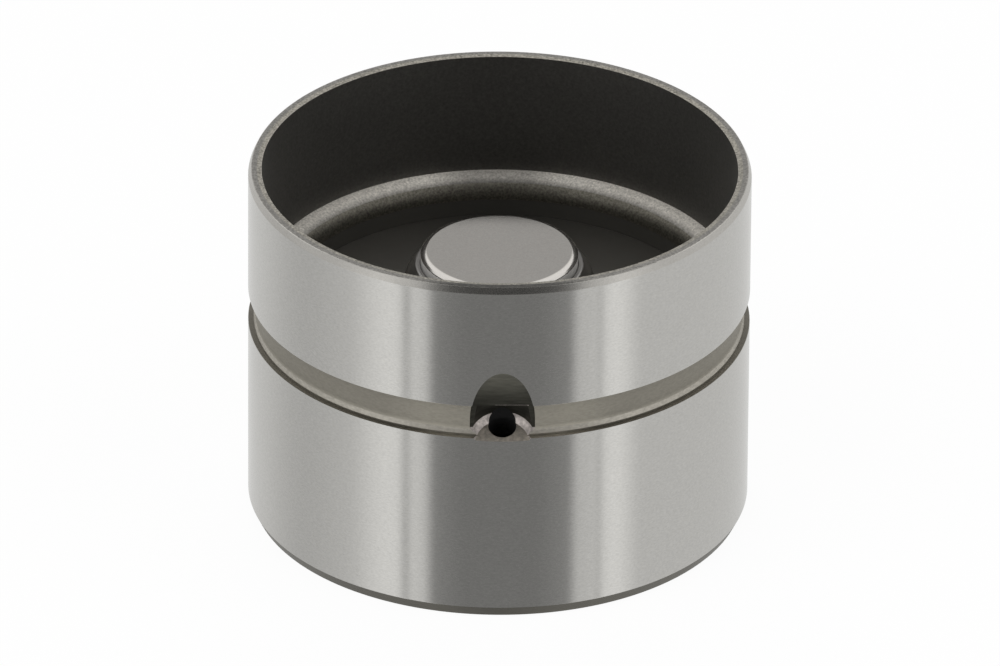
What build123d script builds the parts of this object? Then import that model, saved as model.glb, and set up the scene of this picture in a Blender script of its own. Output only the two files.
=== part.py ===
from build123d import *
import math
import os

# Hydraulic bucket tappet, in millimetres.
# Z is the tappet's axis: the cam face lies at Z = 0 and the open end of the cup is up.
# The oil pocket faces -Y. Heights are measured from the cam face, radii from the axis.

os.makedirs("parts", exist_ok=True)

# Bucket: the ground outside
BODY_DIAMETER = 35.0
BODY_HEIGHT = 26.0
CAM_CHAMFER_WIDTH = 0.40
CAM_CHAMFER_HEIGHT = 0.80
RIM_CHAMFER_WIDTH = 0.15
RIM_CHAMFER_HEIGHT = 0.35

# Bucket: walls and inside steps
CAM_DISC_THICKNESS = 3.0
RIM_WALL = 0.95
RIM_DEBURR = 0.20
SHOULDER_WALL = 2.50
SHOULDER_HEIGHT = 16.95
CHAMBER_WALL = 3.0
CHAMBER_CHAMFER = 1.0

# Oil groove round the outside
GROOVE_BOTTOM = 14.20
GROOVE_WIDTH = 2.50
GROOVE_DEPTH = 0.50
GROOVE_ROOT_CHAMFER = 0.15

# Oil pocket: an arched scoop across the groove, a well behind it and the drilled hole
POCKET_WIDTH = 4.50
POCKET_ARCH = 4.05
POCKET_RISE = 2.65
POCKET_DROP = 0.20
POCKET_FLOOR_RISE = 25.0
SCOOP_TILT = 15.0
SCOOP_DEPTH = 0.72
WELL_HEAD = 0.25
WELL_DEPTH = 2.0
WELL_BEVEL = 0.45
OIL_HOLE_DIAMETER = 1.94
OIL_HOLE_SLOPE = 68.0
OIL_HOLE_INSET = 0.95

# Recess in the inside of the cam disc, which lets oil pass under the piston
RECESS_WIDTH = 3.0
RECESS_DEPTH = 0.6
RECESS_INNER_REACH = 1.0
RECESS_OUTER_MARGIN = 2.6

# Web and guide sleeve, one pressed piece brazed into the bucket
WEB_THICKNESS = 1.0
WEB_TOP = 14.20
WEB_UPPER_FILLET = 1.6
WEB_LOWER_CHAMFER = 0.6
SLEEVE_WALL = 1.08
SLEEVE_LAND = 0.25
SLEEVE_ROUND = 0.80
SLEEVE_TOP_GAP = 0.95
SLEEVE_BELOW_WEB = 4.35
SLEEVE_BEVEL = 0.15

# Hydraulic element: cylinder, piston and their running fits
CYLINDER_DIAMETER = 11.0
CYLINDER_TOP = 19.50
CYLINDER_CROWN = 1.60
CYLINDER_WALL = 1.30
CYLINDER_EDGE_ROUND = 0.28
CYLINDER_BEVEL = 0.20
CYLINDER_TAIL = 0.80
GUIDE_CLEARANCE = 0.02
PISTON_CLEARANCE = 0.015
LASH_TRAVEL = 2.5
CAP_STOP_ROOM = 0.24

PISTON_WALL = 1.45
PISTON_HEAD = 2.0
PISTON_BEVEL = 0.15
PORT_DIAMETER = 2.20
SEAT_WIDTH = 0.40

# Retaining ring on the cylinder, which stops it at the end of the sleeve
RING_THICKNESS = 0.70
RING_SECTION = 0.95
RING_GROOVE_DEPTH = 0.45
RING_SIDE_CLEARANCE = 0.03
RING_BORE_CLEARANCE = 0.02
RING_GAP_ANGLE = 22.0

# Check valve
BALL_DIAMETER = 3.175
BALL_LIFT = 0.20
BALL_SEAT_CLEARANCE = 0.02
CAP_SHEET = 0.30
CAP_RADIAL_ROOM = 0.22
CAP_FLANGE_DIAMETER = 7.4
CAP_WINDOWS = 3
CAP_WINDOW_WIDTH = 1.1
CAP_WINDOW_HEIGHT = 1.3

# Springs
RETURN_WIRE = 0.55
RETURN_MEAN_DIAMETER = 6.3
RETURN_TURNS = 4.5
VALVE_WIRE = 0.16
VALVE_MEAN_DIAMETER = 1.5
VALVE_TURNS = 3.0
VALVE_SPRING_PRESSED = 0.50
SPRING_SEAT_CLEARANCE = 0.02
WIRE_SIDES = 6

# Sizes that follow from the ones above
body_r = BODY_DIAMETER / 2
rim_r = body_r - RIM_WALL
shoulder_r = body_r - SHOULDER_WALL
chamber_r = body_r - CHAMBER_WALL
shoulder_round = rim_r - shoulder_r
web_seat = WEB_TOP - WEB_THICKNESS
groove_top = GROOVE_BOTTOM + GROOVE_WIDTH
pocket_top = groove_top + POCKET_RISE
pocket_foot = GROOVE_BOTTOM - POCKET_DROP
floor_rise = math.tan(math.radians(POCKET_FLOOR_RISE))
well_top = groove_top - WELL_HEAD

cylinder_r = CYLINDER_DIAMETER / 2
cylinder_bore_r = cylinder_r - CYLINDER_WALL
cylinder_ceiling = CYLINDER_TOP - CYLINDER_CROWN
sleeve_bore_r = cylinder_r + GUIDE_CLEARANCE
sleeve_r = sleeve_bore_r + SLEEVE_WALL
sleeve_top = CYLINDER_TOP - SLEEVE_TOP_GAP
sleeve_bottom = web_seat - SLEEVE_BELOW_WEB
ring_top = sleeve_bottom - RING_SIDE_CLEARANCE
ring_bottom = ring_top - RING_THICKNESS
ring_groove_r = cylinder_r - RING_GROOVE_DEPTH
ring_inner_r = ring_groove_r + RING_BORE_CLEARANCE
cylinder_bottom = ring_bottom - RING_SIDE_CLEARANCE - CYLINDER_TAIL

piston_r = cylinder_bore_r - PISTON_CLEARANCE
piston_bore_r = piston_r - PISTON_WALL
piston_bottom = CAM_DISC_THICKNESS
port_r = PORT_DIAMETER / 2

ball_r = BALL_DIAMETER / 2
ball_above_head = (ball_r + BALL_SEAT_CLEARANCE) * math.sqrt(2) - port_r - SEAT_WIDTH
cap_inner_r = ball_r + CAP_RADIAL_ROOM
cap_outer_r = cap_inner_r + CAP_SHEET
cap_depth = ball_above_head + ball_r + BALL_LIFT + VALVE_SPRING_PRESSED

piston_top = cylinder_ceiling - LASH_TRAVEL - CAP_STOP_ROOM - CAP_SHEET - cap_depth
ball_centre = piston_top + ball_above_head
cap_ceiling = piston_top + cap_depth
cap_flange_top = piston_top + CAP_SHEET


def face_of_revolution(start, *moves):
    """Close a profile of (radius, height) points; a move of two points is an arc's middle and end."""
    with BuildSketch(Plane.XZ) as sketch:
        with BuildLine():
            here = start
            for move in moves:
                if isinstance(move[0], tuple):
                    middle, end = move
                    ThreePointArc(here, middle, end)
                else:
                    end = move
                    Line(here, end)
                here = end
            Line(here, start)
        make_face()
    return sketch.sketch


def turned(start, *moves):
    """Turn a closed profile a full round about Z."""
    return revolve(face_of_revolution(start, *moves), Axis.Z)


def quarter(centre, radius, from_angle):
    """Middle and end of a quarter arc about a (radius, height) centre, turning anticlockwise."""
    angles = [math.radians(from_angle + step) for step in (45, 90)]
    return tuple((centre[0] + radius * math.cos(a), centre[1] + radius * math.sin(a)) for a in angles)


def quarter_back(centre, radius, from_angle):
    """The same quarter arc, turning clockwise."""
    angles = [math.radians(from_angle - step) for step in (45, 90)]
    return tuple((centre[0] + radius * math.cos(a), centre[1] + radius * math.sin(a)) for a in angles)


def bucket_blank():
    """Cup turned from one piece: cam disc, ground skirt, rounded shoulder and the web's seat."""
    return turned(
        (0, 0),
        (body_r - CAM_CHAMFER_WIDTH, 0),
        (body_r, CAM_CHAMFER_HEIGHT),
        (body_r, BODY_HEIGHT - RIM_CHAMFER_HEIGHT),
        (body_r - RIM_CHAMFER_WIDTH, BODY_HEIGHT),
        (rim_r + RIM_DEBURR, BODY_HEIGHT),
        (rim_r, BODY_HEIGHT - RIM_DEBURR),
        (rim_r, SHOULDER_HEIGHT),
        quarter((rim_r, SHOULDER_HEIGHT - shoulder_round), shoulder_round, 90),
        (shoulder_r, web_seat),
        (chamber_r, web_seat),
        (chamber_r, CAM_DISC_THICKNESS + CHAMBER_CHAMFER),
        (chamber_r - CHAMBER_CHAMFER, CAM_DISC_THICKNESS),
        (0, CAM_DISC_THICKNESS),
    )


def oil_groove():
    """Ring of metal turned away for the oil groove, with the root's corners left a little full."""
    root_r = body_r - GROOVE_DEPTH
    outside = body_r + GROOVE_DEPTH
    return turned(
        (outside, GROOVE_BOTTOM),
        (outside, groove_top),
        (root_r + GROOVE_ROOT_CHAMFER, groove_top),
        (root_r, groove_top - GROOVE_ROOT_CHAMFER),
        (root_r, GROOVE_BOTTOM + GROOVE_ROOT_CHAMFER),
        (root_r + GROOVE_ROOT_CHAMFER, GROOVE_BOTTOM),
    )


def above_pocket_floor():
    """Everything above the pocket's floor, which rises inward from its foot on the skirt."""
    return Pos(0, -body_r, pocket_foot) * Rot(POCKET_FLOOR_RISE, 0, 0) * Box(
        POCKET_WIDTH, BODY_DIAMETER, BODY_HEIGHT, align=(Align.CENTER, Align.CENTER, Align.MIN)
    )


def oil_scoop():
    """Arch-topped scoop above and across the groove, with a leaning wall."""
    springing = pocket_top - POCKET_ARCH
    foot = Rectangle(POCKET_WIDTH, POCKET_ARCH, align=(Align.CENTER, Align.MAX))
    arch = Pos(0, springing) * (Ellipse(POCKET_WIDTH / 2, POCKET_ARCH) + foot)
    scoop = extrude(Plane.XZ.offset(body_r - SCOOP_DEPTH) * arch, amount=2 * SCOOP_DEPTH)
    outside_wall = Pos(0, -body_r, pocket_top) * Rot(SCOOP_TILT, 0, 0) * Box(
        POCKET_WIDTH, BODY_DIAMETER, BODY_HEIGHT, align=(Align.CENTER, Align.MAX, Align.CENTER)
    )
    return scoop & outside_wall & above_pocket_floor()


def oil_well():
    """Round well behind the groove, as steep as the scoop's wall, with a bevel round its floor."""
    deepest = (0, WELL_DEPTH - body_r, pocket_foot + WELL_DEPTH * floor_rise)
    barrel = Pos(*deepest) * Rot(SCOOP_TILT, 0, 0) * Pos(0, -POCKET_WIDTH / 2, 0) * Cylinder(
        POCKET_WIDTH / 2, BODY_HEIGHT
    )
    below_top = Pos(0, -body_r, well_top) * Box(
        BODY_DIAMETER, BODY_DIAMETER, BODY_HEIGHT, align=(Align.CENTER, Align.CENTER, Align.MAX)
    )
    well = barrel & above_pocket_floor() & below_top
    floor = well.faces().sort_by(Axis.Z)[0]
    return chamfer(floor.edges(), WELL_BEVEL)


def oil_hole():
    """Drilled hole from the well's floor down into the chamber under the web."""
    slope = math.radians(OIL_HOLE_SLOPE)
    mouth = (0, OIL_HOLE_INSET - body_r, pocket_foot + OIL_HOLE_INSET * floor_rise)
    drill_axis = Plane(origin=mouth, x_dir=(1, 0, 0), z_dir=(0, math.cos(slope), -math.sin(slope)))
    depth = CHAMBER_WALL / math.cos(slope)
    start = OIL_HOLE_DIAMETER / 2
    drill = Pos(0, 0, -start) * Cylinder(
        OIL_HOLE_DIAMETER / 2, depth + start, align=(Align.CENTER, Align.CENTER, Align.MIN)
    )
    return drill_axis * drill


def oil_recess():
    """Shallow slot in the cam disc's inside, from the piston's bore out past its wall."""
    outer = piston_r + RECESS_OUTER_MARGIN
    length = outer - RECESS_INNER_REACH
    middle = (outer + RECESS_INNER_REACH) / 2
    slot = extrude(SlotOverall(length, RECESS_WIDTH), amount=RECESS_DEPTH)
    return Pos(middle, 0, CAM_DISC_THICKNESS - RECESS_DEPTH) * slot


def make_bucket_shell():
    shell = bucket_blank() - oil_groove()
    for cavity in (oil_scoop(), oil_well(), oil_hole()):
        shell = shell - cavity
    return shell - oil_recess()


def make_guide_web():
    """Annular web, raised at the middle into the sleeve that guides the cylinder."""
    upper = (sleeve_r + WEB_UPPER_FILLET, WEB_TOP + WEB_UPPER_FILLET)
    shoulder = (sleeve_bore_r + SLEEVE_LAND, sleeve_top - SLEEVE_ROUND)
    return turned(
        (shoulder_r, web_seat),
        (shoulder_r, WEB_TOP),
        (upper[0], WEB_TOP),
        quarter_back(upper, WEB_UPPER_FILLET, 270),
        (sleeve_r, shoulder[1]),
        sleeve_crown(),
        (sleeve_bore_r + SLEEVE_BEVEL, sleeve_top),
        (sleeve_bore_r, sleeve_top - SLEEVE_BEVEL),
        (sleeve_bore_r, sleeve_bottom),
        (sleeve_r, sleeve_bottom),
        (sleeve_r, web_seat - WEB_LOWER_CHAMFER),
        (sleeve_r + WEB_LOWER_CHAMFER, web_seat),
    )


def sleeve_crown():
    """Elliptic-looking rounding at the sleeve's upper outer edge, drawn as one arc."""
    foot = (sleeve_r, sleeve_top - SLEEVE_ROUND)
    head = (sleeve_bore_r + SLEEVE_LAND, sleeve_top)
    bulge = math.sin(math.radians(45))
    middle = (
        head[0] + (foot[0] - head[0]) * bulge,
        foot[1] + (head[1] - foot[1]) * bulge,
    )
    return middle, head


def make_cylinder():
    """Ground cup, closed at the top, that slides in the sleeve and meets the valve stem."""
    groove_low = ring_bottom - RING_SIDE_CLEARANCE
    groove_high = ring_top + RING_SIDE_CLEARANCE
    edge = (cylinder_r - CYLINDER_EDGE_ROUND, CYLINDER_TOP - CYLINDER_EDGE_ROUND)
    return turned(
        (0, CYLINDER_TOP),
        (0, cylinder_ceiling),
        (cylinder_bore_r, cylinder_ceiling),
        (cylinder_bore_r, cylinder_bottom + CYLINDER_BEVEL),
        (cylinder_bore_r + CYLINDER_BEVEL, cylinder_bottom),
        (cylinder_r - CYLINDER_BEVEL, cylinder_bottom),
        (cylinder_r, cylinder_bottom + CYLINDER_BEVEL),
        (cylinder_r, groove_low),
        (ring_groove_r, groove_low),
        (ring_groove_r, groove_high),
        (cylinder_r, groove_high),
        (cylinder_r, edge[1]),
        quarter(edge, CYLINDER_EDGE_ROUND, 0),
    )


def make_retaining_ring():
    """Flat spring ring, open at one side, snapped into the cylinder's groove."""
    section = Rectangle(RING_SECTION, RING_THICKNESS, align=(Align.MIN, Align.MIN))
    placed = Plane.XZ * Pos(ring_inner_r, ring_bottom) * section
    ring = revolve(placed, Axis.Z, revolution_arc=360 - RING_GAP_ANGLE)
    return Rot(0, 0, RING_GAP_ANGLE / 2) * ring


def make_piston():
    """Hollow piston that stands on the cam disc, with the valve port and seat in its head."""
    return turned(
        (piston_bore_r + PISTON_BEVEL, piston_bottom),
        (piston_r - PISTON_BEVEL, piston_bottom),
        (piston_r, piston_bottom + PISTON_BEVEL),
        (piston_r, piston_top - PISTON_BEVEL),
        (piston_r - PISTON_BEVEL, piston_top),
        (port_r + SEAT_WIDTH, piston_top),
        (port_r, piston_top - SEAT_WIDTH),
        (port_r, piston_top - PISTON_HEAD),
        (piston_bore_r, piston_top - PISTON_HEAD),
        (piston_bore_r, piston_bottom + PISTON_BEVEL),
    )


def make_ball_cap():
    """Pressed cap over the ball, clamped by the return spring, with windows for the oil."""
    flange_r = CAP_FLANGE_DIAMETER / 2
    cap = turned(
        (cap_inner_r, piston_top),
        (flange_r, piston_top),
        (flange_r, cap_flange_top),
        (cap_outer_r, cap_flange_top),
        (cap_outer_r, cap_ceiling + CAP_SHEET),
        (0, cap_ceiling + CAP_SHEET),
        (0, cap_ceiling),
        (cap_inner_r, cap_ceiling),
    )
    window = Box(2 * cap_outer_r, CAP_WINDOW_WIDTH, CAP_WINDOW_HEIGHT, align=(Align.MIN, Align.CENTER, Align.CENTER))
    height = (cap_flange_top + cap_ceiling) / 2
    for index in range(CAP_WINDOWS):
        cap = cap - Rot(0, 0, index * 360 / CAP_WINDOWS) * Pos(0, 0, height) * window
    return cap


def make_check_ball():
    return Pos(0, 0, ball_centre) * Sphere(ball_r)


def coil(mean_diameter, wire, turns, low, high):
    """Wire wound about Z between two seats; its many-sided section has the round wire's area."""
    corner_r = wire / 2 * math.sqrt(2 * math.pi / (WIRE_SIDES * math.sin(2 * math.pi / WIRE_SIDES)))
    start = low + SPRING_SEAT_CLEARANCE + corner_r
    rise = high - low - 2 * (SPRING_SEAT_CLEARANCE + corner_r)
    path = Helix(pitch=rise / turns, height=rise, radius=mean_diameter / 2)
    section = Plane(origin=path @ 0, z_dir=path % 0) * RegularPolygon(corner_r, WIRE_SIDES)
    return Pos(0, 0, start) * sweep(section, path=path, is_frenet=True)


def make_return_spring():
    return coil(RETURN_MEAN_DIAMETER, RETURN_WIRE, RETURN_TURNS, cap_flange_top, cylinder_ceiling)


def make_ball_spring():
    """Light spring between the ball's crown and the cap's ceiling."""
    contact_r = (VALVE_MEAN_DIAMETER + VALVE_WIRE) / 2
    crown = ball_centre + math.sqrt(ball_r ** 2 - (contact_r - VALVE_WIRE) ** 2)
    return coil(VALVE_MEAN_DIAMETER, VALVE_WIRE, VALVE_TURNS, crown, cap_ceiling)


PARTS = {
    "bucket_shell": make_bucket_shell,
    "guide_web": make_guide_web,
    "cylinder": make_cylinder,
    "retaining_ring": make_retaining_ring,
    "piston": make_piston,
    "ball_cap": make_ball_cap,
    "check_ball": make_check_ball,
    "ball_spring": make_ball_spring,
    "return_spring": make_return_spring,
}

for node, make in PARTS.items():
    export_step(make(), f"parts/{node}.step")
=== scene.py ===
"""The looks of a hydraulic bucket tappet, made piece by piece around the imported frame.

Sizes are in millimetres and heights are measured from the cam face, as on the workshop
drawing. A piece is turned, cut and rounded in millimetres and ends as a mesh in metres.
"""

import logging
import math
from dataclasses import dataclass, field
from enum import Enum
from typing import Any, Iterable

import bmesh
import bpy
from mathutils import Matrix, Vector


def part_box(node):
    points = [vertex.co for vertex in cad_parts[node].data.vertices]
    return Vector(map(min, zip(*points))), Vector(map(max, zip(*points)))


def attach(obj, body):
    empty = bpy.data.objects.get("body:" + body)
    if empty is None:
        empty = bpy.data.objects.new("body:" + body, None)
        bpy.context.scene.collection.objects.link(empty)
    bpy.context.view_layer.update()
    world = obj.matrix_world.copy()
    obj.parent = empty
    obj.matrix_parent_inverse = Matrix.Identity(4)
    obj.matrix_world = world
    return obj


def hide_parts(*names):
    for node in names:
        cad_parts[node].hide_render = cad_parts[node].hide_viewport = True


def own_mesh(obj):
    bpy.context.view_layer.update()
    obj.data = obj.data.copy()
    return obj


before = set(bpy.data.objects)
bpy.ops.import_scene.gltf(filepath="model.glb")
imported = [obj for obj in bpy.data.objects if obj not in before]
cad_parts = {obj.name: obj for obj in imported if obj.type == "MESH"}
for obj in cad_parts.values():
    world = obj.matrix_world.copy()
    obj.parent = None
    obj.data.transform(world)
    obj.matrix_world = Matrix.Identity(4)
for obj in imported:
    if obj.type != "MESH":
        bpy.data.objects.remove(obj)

LOG = logging.getLogger("tappet")
MM = 0.001
DEGREES = 180 / math.pi

# Millimetres that count as nothing when vertices are matched, merged and dissolved.
NEAR = 2e-3
MERGE = 1e-5
SLIVER = 1e-6

# An edge that turns by more degrees stays sharp, and a normal that leans by less is level.
SHARP_ANGLE = 32.0
LEVEL = 0.01

Colour = tuple[float, float, float]
Change = tuple[float, float, float]


# Shader maths


class Value:
    """A number that varies over a surface; an expression on it adds its Math nodes."""

    def __init__(self, bench: "NodeBench", socket: bpy.types.NodeSocket) -> None:
        """Wrap an output socket of the bench's node tree."""
        self.bench = bench
        self.socket = socket

    def apply(self, operation: str, *others: "Value | float") -> "Value":
        """Feed this value, and then the others, to one Math node."""
        return self.bench.node("ShaderNodeMath", {"operation": operation}, [self, *others])

    def __add__(self, other: "Value | float") -> "Value":
        """Sum."""
        return self.apply("ADD", other)

    __radd__ = __add__

    def __mul__(self, other: "Value | float") -> "Value":
        """Product."""
        return self.apply("MULTIPLY", other)

    __rmul__ = __mul__

    def __sub__(self, other: "Value | float") -> "Value":
        """Difference."""
        return self.apply("SUBTRACT", other)

    def __rsub__(self, other: float) -> "Value":
        """Difference from a plain number."""
        return self.bench.node("ShaderNodeMath", {"operation": "SUBTRACT"}, [other, self])

    def __truediv__(self, other: "Value | float") -> "Value":
        """Quotient."""
        return self.apply("DIVIDE", other)

    def distance_from(self, other: float) -> "Value":
        """How far the value lies from a plain number, without sign."""
        return (self - other).apply("ABSOLUTE")

    def step(self, low: float, high: float) -> "Value":
        """Rise smoothly from 0 at low to 1 at high."""
        settings = {"interpolation_type": "SMOOTHSTEP"}
        return self.bench.node("ShaderNodeMapRange", settings, {"Value": self, "From Min": low, "From Max": high})


class NodeBench:
    """The node tree of one material or of the world, with short names for what goes into it."""

    def __init__(self, tree: bpy.types.NodeTree) -> None:
        """Start with an empty tree."""
        tree.nodes.clear()
        self.tree = tree

    def add(
        self,
        kind: str,
        settings: dict[str, Any] | None = None,
        inputs: dict[int | str, Any] | list[Any] | None = None,
    ) -> bpy.types.Node:
        """Make one node of any type.

        Args:
            kind: The node's type.
            settings: Its properties, which are set first.
            inputs: Values or links, by socket name or number, or in order as a list.

        Returns:
            The node.
        """
        made = self.tree.nodes.new(kind)
        for name, setting in (settings or {}).items():
            setattr(made, name, setting)
        pairs = inputs.items() if isinstance(inputs, dict) else enumerate(inputs or [])
        for name, given in pairs:
            self.feed(made.inputs[name], given)
        return made

    def node(
        self,
        kind: str,
        settings: dict[str, Any] | None = None,
        inputs: dict[int | str, Any] | list[Any] | None = None,
        output: int | str = 0,
    ) -> Value:
        """Make one node, as add does, and hand on one of its outputs."""
        return Value(self, self.add(kind, settings, inputs).outputs[output])

    def feed(self, socket: bpy.types.NodeSocket, given: Any) -> None:
        """Link a Value to a socket, or set a plain number, colour or vector on it.

        Args:
            socket: The input socket.
            given: What it gets.
        """
        if isinstance(given, Value):
            self.tree.links.new(given.socket, socket)
        elif isinstance(given, tuple) and len(given) == 3 and socket.type == "RGBA":
            socket.default_value = (*given, 1.0)
        else:
            socket.default_value = given

    def place(self) -> Value:
        """The point on the piece, in metres."""
        return self.node("ShaderNodeTexCoord", output="Object")

    def scaled(self, vector: Value, scale: tuple[float, float, float]) -> Value:
        """Stretch or shrink a pattern's coordinates along each axis."""
        return self.node("ShaderNodeMapping", {}, {"Vector": vector, "Scale": scale})

    def axes(self, vector: Value) -> tuple[Value, Value, Value]:
        """Split a vector into its three numbers."""
        split = self.add("ShaderNodeSeparateXYZ", {}, [vector])
        return tuple(Value(self, socket) for socket in split.outputs)

    def noise(self, vector: Value, scale: float, detail: float, rough: float) -> Value:
        """Cloudy noise from 0 to 1."""
        inputs = {"Vector": vector, "Scale": scale, "Detail": detail, "Roughness": rough}
        return self.node("ShaderNodeTexNoise", {}, inputs, "Fac")

    def tint(self, colour: Colour, strength: Value) -> Value:
        """One colour made lighter or darker by a varying strength, where 1 leaves it alone."""
        settings = {"data_type": "RGBA", "clamp_factor": False}
        return self.node("ShaderNodeMix", settings, {0: strength, 6: (0.0, 0.0, 0.0), 7: colour}, 2)

    def bump(self, height: Value, depth: float) -> Value:
        """Small relief, that many millimetres deep where the height goes from 0 to 1."""
        inputs = {"Strength": 1.0, "Distance": depth * MM, "Height": height}
        return self.node("ShaderNodeBump", {}, inputs, "Normal")


def start_material(name: str) -> tuple[bpy.types.Material, NodeBench]:
    """Make a material with an empty node tree.

    Args:
        name: The material's name.

    Returns:
        The material and the bench that fills its tree.
    """
    material = bpy.data.materials.new(name)
    material.use_nodes = True
    return material, NodeBench(material.node_tree)


# Finishes


@dataclass(frozen=True)
class SteelFinish:
    """A steel surface: its colour, gloss, fine grain and a broad unevenness of its gloss.

    Grain is the pitch of the tool marks in millimetres; it runs round the axis where
    grain_run is long. Fade changes the colour with height, parting with the distance from
    the middle plane and front along the view: each gives two places in millimetres and the
    share of the colour at the first. Fade and parting are painted light and shade wherever
    a finish uses them; front only darkens the rim nearest the camera.
    """

    name: str
    colour: Colour
    roughness: float
    metallic: float = 1.0
    anisotropic: float = 0.0
    grain: float = 0.25
    grain_run: float = 6.0
    grain_depth: float = 0.002
    grain_shade: float = 0.05
    grain_detail: float = 3.0
    cloud_size: float = 4.0
    cloud_detail: float = 4.0
    noise_rough: float = 0.6
    roughness_spread: float = 0.04
    brushing: float = 0.25
    fade: Change | None = None
    parting: Change | None = None
    front: Change | None = None

    def make(self) -> bpy.types.Material:
        """Build the procedural material.

        Returns:
            The finished material.
        """
        material, bench = start_material(self.name)
        shader = bench.node("ShaderNodeBsdfPrincipled", {}, self.surface(bench))
        bench.add("ShaderNodeOutputMaterial", {}, {"Surface": shader})
        return material

    def surface(self, bench: NodeBench) -> dict[str, Any]:
        """The shader's inputs.

        Args:
            bench: The tree to add nodes to.

        Returns:
            Values for the shader's sockets by name.
        """
        place = bench.place()
        pitch = 1 / (self.grain * MM)
        run = pitch / self.grain_run
        grain = bench.noise(bench.scaled(place, (run, run, pitch)), 1.0, self.grain_detail, self.noise_rough)
        cloud = bench.noise(place, 1 / (self.cloud_size * MM), self.cloud_detail, self.noise_rough)
        shade = 1.0 + (grain - 0.5) * (2 * self.grain_shade)
        right, back, up = bench.axes(place)
        # Fade, parting and front scale the colour: painted light and shade, as each finish's comment says.
        changes = [(self.fade, up), (self.parting, right.apply("ABSOLUTE")), (self.front, back)]
        for limits, along in changes:
            if limits:
                near, far, left = limits
                shade = shade * (left + along.step(near * MM, far * MM) * (1 - left))
        return {
            "Base Color": bench.tint(self.colour, shade),
            "Metallic": self.metallic,
            "Roughness": self.roughness + (cloud - 0.5) * (2 * self.roughness_spread),
            "Anisotropic": self.anisotropic,
            "Anisotropic Rotation": self.brushing if self.anisotropic else 0.0,
            "Normal": bench.bump(grain, self.grain_depth),
        }


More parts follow.
